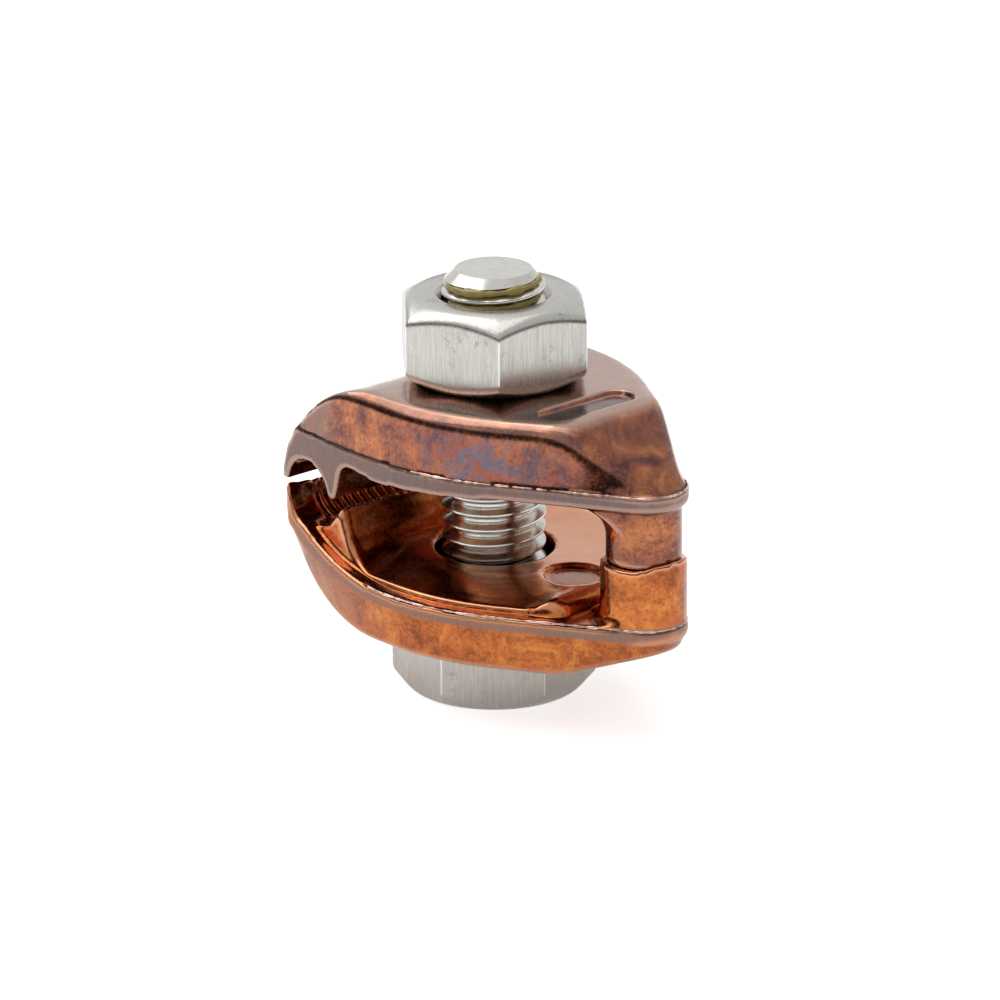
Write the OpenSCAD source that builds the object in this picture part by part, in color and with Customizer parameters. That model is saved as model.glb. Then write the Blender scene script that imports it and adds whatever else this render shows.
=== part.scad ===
// Two-jaw wire clamp: two forged copper alloy jaws on one M10 bolt with a hex nut.
// The origin is on the bolt axis, on the underside of the bolt head. +Z runs up the bolt,
// +X runs from the wire groove to the heel, and +Y runs along the wire.

/* [Plan outline of the jaws] */
// Half of the greatest width, at the start of the shoulders
half_w = 13.7; // [11:0.1:15]
// How far the sides bow in from there to the groove end
side_bow = 0.9; // [0:0.1:1.5]
// Distance from the bolt axis to the groove end of the upper jaw
upper_end = 16.2; // [15.7:0.1:18]
// Distance from the bolt axis to the groove end of the lower jaw
lower_end = 15.8; // [15.4:0.1:17]
// Radius of the two corners at the groove end, in plan
end_corner_r = 0.8; // [0.4:0.1:2.5]
// Distance from the bolt axis to the point where the sides turn in
shoulder_x = 5.6; // [3:0.1:8]
// Radius of the turn in the sides
shoulder_r = 22; // [8:0.5:24]
// Distance from the bolt axis to the heel axis
heel_x = 20.5; // [19:0.1:24]
// Radius of the heel end, in plan
heel_r = 4.15; // [4.1:0.05:5.5]

/* [Heights through the clamp] */
// Thickness of the lower jaw between the bolt head and the floor
floor_t = 7.3; // [6.5:0.1:9]
// Clear height of the throat, from the floor to the underside of the upper jaw
throat_h = 9; // [8.2:0.1:11]
// Thickness of the upper jaw under the nut
upper_t = 8.1; // [6.5:0.1:8.6]
// Height of the heel seat above the floor
seat_rise = 4; // [2.5:0.1:5]

/* [Wire groove] */
// Distance from the bolt axis to the groove
groove_x = 11.9; // [11.6:0.1:12.4]
// Radius of the groove in each jaw
groove_r = 3.1; // [2.2:0.05:3.2]
// Depth of the lower groove below its outer lip
groove_depth = 3.6; // [3:0.1:4]
// Slit between the two outer lips when the jaws are closed
lip_slit = 0.45; // [0.2:0.05:1]
// Distance from one gripping rib to the next
rib_pitch = 1; // [0.8:0.05:2]
// Depth of the channels between the ribs
rib_depth = 0.3; // [0.2:0.05:0.4]
// Smooth length at each end of the groove
rib_margin = 3.4; // [3:0.1:5]

/* [Upper jaw] */
// Height of the sheared band below the flash line
upper_band_h = 2.2; // [1.4:0.1:2.4]
// Lean of the walls above the flash line, as an inset at the top
upper_draft = 0.6; // [0.3:0.05:1.2]
// Radius of the edge round the top
top_edge_r = 1.4; // [0.8:0.1:2]
// Distance from the bolt axis to the crease where the top falls to the heel
ramp_x = 15.8; // [14.5:0.1:17]
// Slope of the top between the crease and the heel
ramp_angle = 34; // [20:1:36]
// Radius of the slight crown of the top towards the groove end
crown_r = 100; // [22:0.5:120]
// Radius of the groove end in side view, from the outer lip up to the top
end_round_r = 13.4; // [7:0.1:14.5]
// Height of the outer lip's tip above the tip of the tooth
lip_step = 0.2; // [0:0.05:0.8]
// Height of the tooth beside the groove
tooth_h = 3.4; // [3:0.1:4]
// Thickness of the tooth at its root
tooth_root_w = 1.8; // [1.7:0.1:2.6]
// Height of the relief in the underside beside the tooth
tooth_relief = 0.4; // [0.1:0.05:0.6]
// Rise of the underside from the bolt to the heel
heel_rise = 0.7; // [0.1:0.05:0.9]
// Radius of the heel post
upper_post_r = 3.55; // [3:0.05:3.65]
// Radius of the throat between the underside and the heel post
throat_r = 3.4; // [2:0.1:4]

/* [Lower jaw] */
// Height from the seat of the bolt head to the flash line
lower_flash_h = 4.3; // [3.6:0.1:5]
// Height of the sheared band above the flash line
lower_band_h = 1.2; // [0.7:0.1:1.6]
// Lean of the walls below the flash line, as an inset at the bottom
lower_draft = 0.5; // [0.3:0.05:1.2]
// Radius of the edge round the bottom
bottom_edge_r = 0.8; // [0.6:0.1:1.5]
// Slope of the bottom between the crease and the heel
heel_lift_angle = 20; // [5:1:22]
// Distance from the bolt axis to the belly, which rounds up to the groove end
belly_start = 3.2; // [2:0.1:6]
// Distance from the bolt axis to the point where the sheared band starts to rise
band_start = 0.5; // [0:0.1:5]
// Radius of the rise of the flash line
flash_rise_r = 27; // [15:0.1:32]
// Radius of the rise of the sheared band's top
band_rise_r = 22; // [13:0.1:26]
// Width of the ledge outside the floor pad
ledge_w = 1.4; // [0.8:0.1:1.8]
// Radius of the edge round the floor pad
pad_edge_r = 1.3; // [0.6:0.1:1.8]
// Drop from the tip of the tooth to the inner lip when the jaws are closed
inner_lip_gap = 1.3; // [1:0.1:2]
// Width of the top of the inner lip
inner_lip_w = 0.5; // [0.3:0.05:1]
// Radius of the hollow between the inner lip and the floor
hollow_r = 4.2; // [3.6:0.1:5]
// Radius of the heel post
lower_post_r = 4.05; // [3.9:0.05:4.1]
// Height of the crescent rim outside the heel seat
rim_h = 0.8; // [0.4:0.1:2]
// Distance from the heel axis to the point where the rim starts to rise
rim_start = 2; // [0:0.1:3]
// Gap between the upper heel post and the crescent rim
heel_gap = 0.1; // [0.05:0.01:0.2]

/* [Marking recesses] */
// Depth of both recesses
recess_depth = 0.5; // [0.3:0.05:0.8]
// Length of the long recess in the upper jaw
long_recess_l = 11; // [6:0.1:11.6]
// Width of the long recess
long_recess_w = 3.4; // [2:0.1:3.6]
// Distance from the crease to the middle of the long recess
long_recess_back = 3.1; // [2:0.1:4]
// Radius of the round recess in the floor
round_recess_r = 2.8; // [1.5:0.1:2.9]
// Distance from the bolt axis to the round recess
round_recess_x = 10.95; // [10:0.05:11.2]

/* [Bolt and nut] */
// Thread diameter
thread_d = 10; // [8:0.5:10.5]
// Length of the bolt below its head
bolt_l = 34.8; // [34:0.1:45]
// Height of the bolt head
head_h = 6.4; // [5:0.1:8]
// Width across the flats of the head and the nut
hex_af = 17; // [16:0.5:19]
// Height of the nut
nut_h = 8; // [6:0.1:8.4]
// Diameter of the bolt holes in the jaws
hole_d = 11.2; // [10.8:0.1:12]
// Gap between the bolt and the bore of the nut
thread_gap = 0.05; // [0.02:0.01:0.1]
// Height of the chamfer at the corners of the nut
nut_chamfer_h = 1.25; // [0.8:0.05:1.5]
// Height of the chamfer at the corners of the head
head_chamfer_h = 0.95; // [0.6:0.05:1.5]
// Height of the chamfer at the point of the bolt
point_h = 1.3; // [0.8:0.1:2]

/* [Hidden] */
$fn = 96;

// Heights of the main faces
seat_z = head_h;
floor_z = seat_z + floor_t;
under_z = floor_z + throat_h;
top_z = under_z + upper_t;
heel_seat_z = floor_z + seat_rise;
upper_flash_z = under_z + upper_band_h;
lower_flash_z = seat_z + lower_flash_h;
ledge_z = lower_flash_z + lower_band_h;

// Tooth, lips and groove axes
tooth_tip_r = 0.7;
tooth_root_r = 1.5;
upper_groove_drop = 0.2;
tooth_tip_z = under_z - tooth_h;
upper_lip_z = tooth_tip_z + lip_step;
lower_lip_z = upper_lip_z - lip_slit;
inner_lip_z = tooth_tip_z - inner_lip_gap;
upper_groove_z = tooth_tip_z - upper_groove_drop;
lower_groove_z = lower_lip_z - groove_depth + groove_r;
tooth_root_x = -groove_x + groove_r + tooth_root_w;
inner_lip_x = -groove_x + groove_r + inner_lip_w;

// Starts of the crown and of the underside's rise, radius of the belly and of the two creases,
// and least height of a drafted wall
crown_x = -1;
rise_start_x = -1.6;
rise_end_x = 10.5;
belly_r = lower_end - belly_start;
crease_r = 4;
wall_h = 0.3;

// Reach of a cut past the face that it opens
clear = 1;

// Points along the stretches of the outline, and steps in a round-over
side_steps = 12;
arc_steps = 10;
corner_steps = 4;
round_steps = 4;

// Heel tapers: both run tangent to the heel end and leave the sides at the shoulder
taper_run = [heel_x - shoulder_x, half_w];
taper_angle = atan2(taper_run.y, taper_run.x) - asin(heel_r / norm(taper_run));
taper_reach = heel_x * sin(taper_angle) + heel_r;
shoulder_cx = (taper_reach - shoulder_r - (half_w - shoulder_r) * cos(taper_angle)) / sin(taper_angle);
shoulder_c = [shoulder_cx, shoulder_r - half_w];
bow_run = shoulder_cx + upper_end;

function arc(c, r, a0, a1, n = arc_steps) =
    [for (i = [0:n]) let (a = a0 + (a1 - a0) * i / n) c + r * [cos(a), sin(a)]];
function between(a, b, n) = [for (i = [1:n - 1]) a + (b - a) * i / n];
// Front side of the plan outline, drawn in by inset
function side_y(x, inset) = inset - half_w + side_bow * pow((shoulder_cx - x) / bow_run, 2);
function last(list) = list[len(list) - 1];

// Front half of the plan outline, from the groove end to the heel, drawn in by inset
function front_half(end_x, corner_r, inset) =
    let (r = max(0.1, corner_r - inset))
    let (corner_x = inset + r - end_x)
    let (corner = arc([corner_x, side_y(corner_x, inset) + r], r, 180, 270, corner_steps))
    let (shoulder = arc(shoulder_c, shoulder_r - inset, 270, 270 + taper_angle))
    let (heel = arc([heel_x, 0], heel_r - inset, 270 + taper_angle, 360))
    let (side = [for (x = between(corner_x, shoulder_cx, side_steps)) [x, side_y(x, inset)]])
    concat(corner, side, shoulder,
           between(last(shoulder), heel[0], side_steps), heel);

// Whole outline: the front half and its mirror image, which share the heel point
function outline(end_x, corner_r, inset) =
    let (front = front_half(end_x, corner_r, inset))
    concat(front, [for (i = [len(front) - 2:-1:0]) [front[i].x, -front[i].y]]);

// Solid through a stack of outlines, each given as [inset, height as a function of x].
// Flat strips along Y close both ends.
module loft(end_x, corner_r, rings) {
    sections = [for (r = rings) [for (p = outline(end_x, corner_r, r[0])) [p.x, p.y, r[1](p.x)]]];
    n = len(sections[0]);
    half = (n - 1) / 2;
    top = (len(rings) - 1) * n;
    walls = [for (k = [0:len(rings) - 2]) for (i = [0:n - 1])
        let (a = k * n + i, b = k * n + (i + 1) % n)
        each [[a, b + n, b], [a, a + n, b + n]]];
    strips = [for (i = [0:half - 1]) let (j = n - 1 - i)
        each i + 1 == j - 1 ? [[i, i + 1, j]] : [[i, i + 1, j - 1], [i, j - 1, j]]];
    top_strips = [for (f = strips) [top + f[0], top + f[2], top + f[1]]];
    polyhedron(points = [for (s = sections) each s], faces = concat(walls, strips, top_strips));
}

// Rings of a round-over between a wall and the face at its end, from the wall to the face.
// The radius is kept within the height of the wall, from its foot to the face.
function round_over(inset, r, face, foot) = [for (i = [0:round_steps]) let (a = 90 * i / round_steps)
    [inset + r * (1 - cos(a)),
     function (x) let (wall = face(x) - foot(x))
         face(x) - sign(wall) * min(r, 0.7 * abs(wall)) * (1 - sin(a))]];
function backwards(list) = [for (i = [len(list) - 1:-1:0]) list[i]];

// Rise of an arc of radius r that leaves the level at start_x and climbs towards the groove end
function end_rise(x, r, start_x) = x >= start_x ? 0 : r - sqrt(max(0, r * r - pow(start_x - x, 2)));
// Fall past the crease, eased over a short stretch
function past_crease(x, angle) =
    let (d = x - ramp_x, ease = crease_r * tan(angle / 2))
    d <= -ease ? 0 : d >= ease ? d * tan(angle) : pow(d + ease, 2) / (4 * ease) * tan(angle);

// Top of the upper jaw: flat under the nut, slightly crowned towards the groove end
function crown_z(x) = top_z - end_rise(x, crown_r, crown_x);

upper_face = function (x) max(upper_flash_z + 2 * wall_h, crown_z(x) - past_crease(x, ramp_angle));
upper_flash = function (x) upper_flash_z;
lower_flash = function (x) lower_flash_z + end_rise(x, flash_rise_r, -band_start);
lower_face = function (x)
    min(lower_flash(x) - wall_h,
        seat_z + end_rise(x, belly_r, -belly_start) + past_crease(x, heel_lift_angle));

// Floor pad: it rounds off short of the heel post, lies level, then rises to the two lips
pad_gap = 0.5;
pad_end_r = 2.2;
pad_end_x = heel_x - lower_post_r - pad_gap;
function pad_end_fall(x) = end_rise(-x, pad_end_r, pad_end_r - pad_end_x);
function lips_z(x) = x > -groove_x ? inner_lip_z : lower_lip_z;
function hollow_z(x) = floor_z + (x < inner_lip_x ? throat_h : end_rise(x, hollow_r, inner_lip_x + hollow_r));
pad_face = function (x)
    x > pad_end_x ? ledge_z - pad_gap : min(lips_z(x), hollow_z(x)) - pad_end_fall(x);
pad_foot = function (x) lower_flash(x) + wall_h;

// Stretches a side view along the wire
module along_wire() {
    rotate([90, 0, 0]) linear_extrude(4 * half_w, center = true) children();
}

// Cut that rounds off the groove end of a jaw in side view, above (up = 1) or below (up = -1) axis_z
module round_end(end_x, r, axis_z, up) {
    far = 2 * top_z;
    translate([r - end_x, 0, axis_z]) along_wire() difference() {
        translate([-far, up > 0 ? 0 : -far]) square(far);
        circle(r);
    }
}

module bolt_hole() {
    cylinder(h = top_z + clear, d = hole_d);
}

module wire_bore(z, r, l) {
    translate([-groove_x, 0, z]) rotate([90, 0, 0]) cylinder(h = l, r = r, center = true);
}

// Post from z0 to z1 on the heel axis, flared at z0 or z1 into the jaw by a turned fillet
module heel_post(r, z0, z1, flare_z, flare_r, rising) {
    reach = r + flare_r;
    foot = rising ? flare_z - clear / 2 : flare_z - flare_r;
    translate([heel_x, 0, z0]) cylinder(h = z1 - z0, r = r);
    intersection() {
        translate([heel_x, 0, 0]) rotate_extrude() difference() {
            translate([0, foot]) square([reach, flare_r + clear / 2]);
            translate([reach, flare_z + (rising ? flare_r : -flare_r)]) circle(flare_r);
        }
        linear_extrude(top_z) polygon(outline(upper_end, end_corner_r, heel_r - r));
    }
}

// Side view of everything above the underside, the tooth and the outer lip
module upper_side() {
    far = 4 * upper_end;
    groove_c = [-groove_x, upper_groove_z];
    tip_above = tooth_tip_r + upper_groove_drop;
    tip_angle = asin(tip_above / (groove_r + tooth_tip_r));
    tip_c = groove_c + (groove_r + tooth_tip_r) * [cos(tip_angle), sin(tip_angle)];
    root_c = [tooth_root_x + tooth_root_r, under_z + tooth_relief - tooth_root_r];
    flank = root_c - tip_c;
    lean = 90 - atan2(flank.y, flank.x) - asin((tooth_tip_r + tooth_root_r) / norm(flank));
    polygon(concat(
        [[far, far], [far, under_z + heel_rise], [rise_end_x, under_z + heel_rise], [rise_start_x, under_z]],
        arc(root_c, tooth_root_r, 90, 180 - lean),
        arc(tip_c, tooth_tip_r, -lean, tip_angle - 180),
        [groove_c, [-groove_x, upper_lip_z]],
        [[-far, upper_lip_z], [-far, far]]));
}

module upper_jaw() {
    flash_step = 0.15;
    color("#8a4a30") difference() {
        union() {
            intersection() {
                loft(upper_end, end_corner_r, concat(
                    [[0, function (x) tooth_tip_z - clear], [0, upper_flash]],
                    [[flash_step, function (x) upper_flash_z + flash_step / 2]],
                    round_over(upper_draft, top_edge_r, upper_face, upper_flash)));
                along_wire() upper_side();
            }
            heel_post(upper_post_r, heel_seat_z, upper_flash_z - clear / 2, under_z + heel_rise, throat_r, false);
        }
        round_end(upper_end, end_round_r, top_z - end_round_r, 1);
        bolt_hole();
        wire_bore(upper_groove_z, groove_r, 4 * half_w);
        long_recess();
    }
}

// Shallow recess for a mark, left bare
module long_recess() {
    reach = (long_recess_l - long_recess_w) / 2;
    translate([ramp_x - long_recess_back, 0, top_z - recess_depth]) linear_extrude(upper_t) {
        square([long_recess_w, 2 * reach], center = true);
        for (side = [-1, 1]) translate([0, side * reach]) circle(d = long_recess_w);
    }
}

// Side view of everything below the top of the sheared band
module lower_band_side() {
    far = 4 * lower_end;
    steps = 16;
    run = lower_end - band_start;
    polygon(concat(
        [[far, -far], [far, ledge_z]],
        [for (i = [0:steps]) let (x = -band_start - run * i / steps)
            [x, min(lower_lip_z, ledge_z + end_rise(x, band_rise_r, -band_start))]],
        [[-far, lower_lip_z], [-far, -far]]));
}

module lower_jaw() {
    pad_corner_r = ledge_w + pad_edge_r;
    color("#a8602f") difference() {
        union() {
            intersection() {
                loft(lower_end, end_corner_r, concat(
                    backwards(round_over(lower_draft, bottom_edge_r, lower_face, lower_flash)),
                    [[0, lower_flash], [0, function (x) lower_lip_z + clear]]));
                along_wire() lower_band_side();
            }
            loft(lower_end + ledge_w, pad_corner_r, concat(
                [[ledge_w, pad_foot]], round_over(ledge_w, pad_edge_r, pad_face, pad_foot)));
            lower_post();
        }
        round_end(lower_end, belly_r, seat_z + belly_r, -1);
        bolt_hole();
        lower_groove();
        rib_channels();
        round_recess();
    }
}

// Round-bottomed groove with upright sides, so that a wire drops in from above
module lower_groove() {
    wire_bore(lower_groove_z, groove_r, 4 * half_w);
    translate([-groove_x, 0, lower_groove_z]) along_wire()
        translate([-groove_r, 0]) square(2 * groove_r);
}

// Channels that leave gripping ribs across the groove
module rib_channels() {
    count = floor(2 * (half_w - rib_margin) / rib_pitch);
    for (i = [0:count - 1]) translate([0, (i - (count - 1) / 2) * rib_pitch, 0])
        wire_bore(lower_groove_z, groove_r + rib_depth, rib_pitch / 2);
}

// Shallow round recess for a mark, left bare
module round_recess() {
    translate([round_recess_x, 0, floor_z - recess_depth])
        cylinder(h = floor_t, r = round_recess_r);
}

// Heel post with its seat, and the crescent rim that stops the upper post from sliding out
module lower_post() {
    rim_slope = rim_h / (lower_post_r - rim_start);
    far = 2 * lower_post_r;
    difference() {
        heel_post(lower_post_r, lower_flash_z, heel_seat_z + rim_h, ledge_z, pad_edge_r, true);
        translate([heel_x, 0, heel_seat_z]) cylinder(h = far, r = upper_post_r + heel_gap);
        translate([heel_x, 0, heel_seat_z]) along_wire() polygon([
            [-far, 0], [rim_start, 0], [far, (far - rim_start) * rim_slope], [far, far], [-far, far]]);
    }
}

// Hexagon with the corners of one or both ends turned off to a cone
module hex_body(h, turn, chamfer_h, both_ends) {
    corner_r = hex_af / 2 / cos(30);
    face_r = corner_r - chamfer_h / tan(30);
    side_r = corner_r + clear;
    side_h = (side_r - face_r) * tan(30);
    intersection() {
        rotate([0, 0, turn]) cylinder(h = h, r = corner_r, $fn = 6);
        rotate_extrude() polygon([
            [0, 0], [face_r, 0], [side_r, side_h],
            if (both_ends) [side_r, h - side_h],
            [both_ends ? face_r : side_r, h], [0, h]]);
    }
}

// Radius over the thread crests, and how far round the head and the nut stand
crest_allowance = 0.07;
shank_r = thread_d / 2 - crest_allowance;
head_turn = -13.6;
nut_turn = 20.4;

module bolt() {
    point_r = shank_r - point_h;
    color("#c8c6c0") {
        hex_body(head_h, head_turn, head_chamfer_h, false);
        translate([0, 0, head_h - clear]) rotate_extrude() polygon([
            [0, 0], [shank_r, 0],
            [shank_r, bolt_l + clear - point_h],
            [point_r, bolt_l + clear], [0, bolt_l + clear]]);
    }
}

module nut() {
    bore_r = shank_r + thread_gap;
    sink = 0.35;
    color("#cfcdc7") translate([0, 0, top_z]) difference() {
        hex_body(nut_h, nut_turn, nut_chamfer_h, true);
        translate([0, 0, -clear]) cylinder(h = nut_h + 2 * clear, r = bore_r);
        for (end = [0, 1]) translate([0, 0, end * nut_h]) mirror([0, 0, end])
            translate([0, 0, -clear]) cylinder(h = clear + sink, r1 = bore_r + sink + clear, r2 = bore_r);
    }
}

lower_jaw();
upper_jaw();
bolt();
nut();
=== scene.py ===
# %% [markdown]
# A wire clamp in two forged copper alloy jaws, pulled together by one stainless bolt and nut.
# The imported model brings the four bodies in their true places. This lesson dresses them: forged skins for
# the jaws, gripping ribs, trimming burrs, real screw threads, a little grease, and a white studio.

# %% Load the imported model
import math

import bmesh
import bpy
import numpy as np
from mathutils import Matrix, Vector, noise


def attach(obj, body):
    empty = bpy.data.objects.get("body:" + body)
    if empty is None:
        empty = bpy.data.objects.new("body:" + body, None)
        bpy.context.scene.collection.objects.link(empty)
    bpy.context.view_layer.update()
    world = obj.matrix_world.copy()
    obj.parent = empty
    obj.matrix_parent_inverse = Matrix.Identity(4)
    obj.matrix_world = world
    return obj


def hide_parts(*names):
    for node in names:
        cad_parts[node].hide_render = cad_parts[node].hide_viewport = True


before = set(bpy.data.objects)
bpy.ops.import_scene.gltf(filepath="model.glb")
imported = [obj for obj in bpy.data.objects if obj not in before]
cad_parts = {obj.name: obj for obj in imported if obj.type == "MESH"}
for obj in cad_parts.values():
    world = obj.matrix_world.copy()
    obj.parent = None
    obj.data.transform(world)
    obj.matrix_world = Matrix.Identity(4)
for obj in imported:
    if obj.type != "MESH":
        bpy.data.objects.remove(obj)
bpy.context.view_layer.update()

MM = 0.001
scene = bpy.context.scene

# %% [markdown]
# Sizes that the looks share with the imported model, in millimetres. The plan outline of both jaws is two
# slightly bowed sides, two shoulder arcs, two tapers and a round heel, and the flash line runs along it.

# %% Sizes shared with the model
half_w = 13.7
side_bow = 0.9
upper_end = 16.2
lower_end = 15.8
shoulder_x = 5.6
shoulder_r = 22.0
heel_x = 20.5
heel_r = 4.15
seat_z = 6.4
floor_z = 13.7
ledge_z = 11.9
lower_flash_z = 10.7
lower_lip_z = 19.05
inner_lip_z = 18.0
under_z = 22.7
upper_flash_z = 24.9
top_z = 30.8
groove_x = -11.9
groove_r = 3.1
groove_z = 18.55
band_start = -0.5
flash_rise_r = 27.0
band_rise_r = 22.0
ledge_w = 1.4
pad_edge_r = 1.3
pad_rise_x = -4.1
pad_rise_r = 4.2
thread_r = 4.93
thread_pitch = 1.5
nut_h = 8.0
hex_across = 17.0
bolt_tip_z = 41.2

# Recesses: the middle in X, the radius, and the reach to either side in Y
long_recess = (12.7, 1.7, 3.8)
round_recess = (10.95, 2.8, 0)


def end_rise(x, radius):
    """Rise of an arc that leaves the level at the start of the band and climbs to the groove end."""
    run = np.clip(band_start - x, 0, radius)
    return radius - np.sqrt(radius * radius - run * run)


def lower_flash(x):
    """Height of the lower jaw's flash line."""
    return lower_flash_z + end_rise(x, flash_rise_r)


def lower_ledge(x):
    """Height of the top edge of the lower jaw's sheared band."""
    return np.minimum(lower_lip_z, ledge_z + end_rise(x, band_rise_r))


shoulder_steps = 12
heel_steps = 16
side_steps = 12


def arc(centre, radius, start, turn, steps):
    """Points along an arc in plan."""
    angles = [start + turn * i / steps for i in range(steps + 1)]
    return [(centre[0] + radius * math.cos(a), centre[1] + radius * math.sin(a)) for a in angles]


def jaw_outline(end_x, spacing=0.25):
    """Plan outline of a jaw as a closed ring of points, from the groove end round the front."""
    run_x = heel_x - shoulder_x
    taper = math.atan2(half_w, run_x) - math.asin(heel_r / math.hypot(run_x, half_w))
    reach = heel_x * math.sin(taper) + heel_r
    centre_x = (reach - shoulder_r - (half_w - shoulder_r) * math.cos(taper)) / math.sin(taper)
    down = -math.pi / 2
    shoulder = arc((centre_x, shoulder_r - half_w), shoulder_r, down, taper, shoulder_steps)
    heel = arc((heel_x, 0.0), heel_r, down + taper, math.pi / 2 - taper, heel_steps)
    side = [(x, side_bow * ((centre_x - x) / (centre_x + upper_end)) ** 2 - half_w)
            for x in np.linspace(-end_x, centre_x, side_steps, endpoint=False)]
    front = [(-end_x, 0.0)] + side + shoulder + heel
    corners = np.array(front + [(x, -y) for x, y in reversed(front[1:-1])])
    ring = []
    for a, b in zip(corners, np.roll(corners, -1, axis=0)):
        steps = max(1, int(np.linalg.norm(b - a) / spacing))
        ring.extend(a + (b - a) * i / steps for i in range(steps))
    return np.array(ring)


outlines = {"upper_jaw": jaw_outline(upper_end), "lower_jaw": jaw_outline(lower_end)}
print("outline points:", {name: len(ring) for name, ring in outlines.items()})

# %% [markdown]
# The camera stands where the photographer stood: in front of the heel side, a little above the clamp, with
# a long lens. Its bearing, height and distance were found by matching the edges of the hexagons and jaws.

# %% Camera
view_bearing = math.radians(47.5)
view_height = math.radians(19.48)
view_roll = math.radians(-0.15)
view_distance = 0.6
focal_pixels = 6336.6
image_pixels = 1000
film_width = 36.0
aim = Vector((0, 0, 20 * MM))
aim_right = 0.55 * MM
aim_up = -1.75 * MM


def toward(bearing, rise):
    """Direction away from the clamp, at a bearing from -Y towards +X and a rise above the level."""
    return Vector((math.sin(bearing) * math.cos(rise), -math.cos(bearing) * math.cos(rise), math.sin(rise)))


right = Vector((math.cos(view_bearing), math.sin(view_bearing), 0))
back = toward(view_bearing, view_height)
up = back.cross(right)
rolled_right = right * math.cos(view_roll) + up * math.sin(view_roll)
rolled_up = up * math.cos(view_roll) - right * math.sin(view_roll)
camera = bpy.data.objects.new("camera", bpy.data.cameras.new("camera"))
camera.data.sensor_width = film_width
camera.data.lens = focal_pixels / image_pixels * film_width
camera.data.clip_start = 0.01
camera.data.clip_end = 20
axes = Matrix((rolled_right, rolled_up, back)).transposed().to_4x4()
place = aim + rolled_right * aim_right + rolled_up * aim_up + back * view_distance
camera.matrix_world = Matrix.Translation(place) @ axes
scene.collection.objects.link(camera)
scene.camera = camera
print("lens:", round(camera.data.lens, 1), "mm")

# %% [markdown]
# Small tools. One adds a node with its settings and links, one turns a hex colour to linear light, and
# others start and close a tree, or run one and keep its result as a plain mesh.

# %% Small tools
rgba = {"out": 2, "data_type": "RGBA"}
smooth = {"interpolation_type": "SMOOTHSTEP"}


def add(tree, kind, feeds=(), out=0, **settings):
    """Adds a node, sets it, feeds its inputs by name or place, and returns one of its outputs."""
    node = tree.nodes.new(kind)
    for key, value in settings.items():
        setattr(node, key, value)
    for key, value in feeds.items() if isinstance(feeds, dict) else enumerate(feeds):
        if isinstance(value, bpy.types.NodeSocket):
            tree.links.new(value, node.inputs[key])
        elif value is not None:
            node.inputs[key].default_value = value
    return node.outputs[out] if len(node.outputs) else node


def colour(code):
    """Linear colour of an sRGB hex value."""
    parts = [int(code[i:i + 2], 16) / 255 for i in (1, 3, 5)]
    return [p / 12.92 if p <= 0.04045 else ((p + 0.055) / 1.055) ** 2.4 for p in parts] + [1.0]


def new_material(name):
    """Makes a material with an empty node tree, and returns both."""
    material = bpy.data.materials.new(name)
    material.use_nodes = True
    material.node_tree.nodes.clear()
    return material, material.node_tree


def new_object(name, mesh):
    """Links a mesh to the scene as an object at the origin."""
    made = bpy.data.objects.new(name, mesh)
    scene.collection.objects.link(made)
    return made


def in_mm(tree):
    """Adds the object's own coordinates to a material's tree, in millimetres."""
    metres = add(tree, "ShaderNodeTexCoord", out="Object")
    return add(tree, "ShaderNodeVectorMath", {0: metres, "Scale": 1 / MM}, operation="SCALE")


def keep_result(made, modifier):
    """Keeps what a modifier makes as the object's plain mesh."""
    plain = bpy.data.meshes.new_from_object(made.evaluated_get(bpy.context.evaluated_depsgraph_get()))
    made.modifiers.remove(modifier)
    made.data = plain


def grow(name, tree, sizes, path=None):
    """Runs a node tree with the given sizes and keeps the result as a plain mesh."""
    made = new_object(name, path or bpy.data.meshes.new(name))
    rule = made.modifiers.new("rule", "NODES")
    rule.node_group = tree
    for item in tree.interface.items_tree:
        if item.in_out == "INPUT" and item.name in sizes:
            rule[item.identifier] = sizes[item.name]
    keep_result(made, rule)
    made.data.name = name
    return made


def new_tree(name, sockets):
    """Makes a geometry tree with named inputs, and returns it with the inputs' sockets by name."""
    tree = bpy.data.node_groups.new(name, "GeometryNodeTree")
    for label, kind in sockets.items():
        tree.interface.new_socket(label, in_out="INPUT", socket_type="NodeSocket" + kind)
    tree.interface.new_socket("Geometry", in_out="OUTPUT", socket_type="NodeSocketGeometry")
    entry = tree.nodes.new("NodeGroupInput")
    return tree, {label: entry.outputs[label] for label in sockets}


def close_tree(tree, made, material):
    """Gives a tree's geometry its material, sends it out and returns the tree."""
    made = add(tree, "GeometryNodeRealizeInstances", {"Geometry": made})
    made = add(tree, "GeometryNodeSetMaterial", {"Geometry": made, "Material": material})
    add(tree, "NodeGroupOutput", {"Geometry": made})
    return tree


def finish_piece(piece, body, material=None):
    """Gives a piece its material and body, and prints how large it is."""
    if material:
        piece.data.materials.clear()
        piece.data.materials.append(material)
    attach(piece, body)
    triangles = sum(len(p.vertices) - 2 for p in piece.data.polygons)
    print(piece.name, "on", body, "with", triangles, "triangles")


# %% [markdown]
# Forged copper alloy, pickled bright and then tinted by heat. It is a metal with a thin clear oxide film,
# so it gets a coat. Its colour wanders over a few millimetres from gold to red and purple brown, with
# finer specks. A flat colour would look painted, so noise of three sizes mixes the tints. Masks come from
# the mesh: level and calm faces, the sheared band, drag marks, the hottest side, edges, hollows and cracks.
# Level faces and edges get a painted highlight, and hollows and recess floors get painted shade.

# %% Forged copper
broad_mm = 4.0
patch_mm = 1.8
speck_mm = 0.35
drag_per_mm = 6.5
drag_stretch = 0.6
scale_depth = 0.05 * MM


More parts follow.
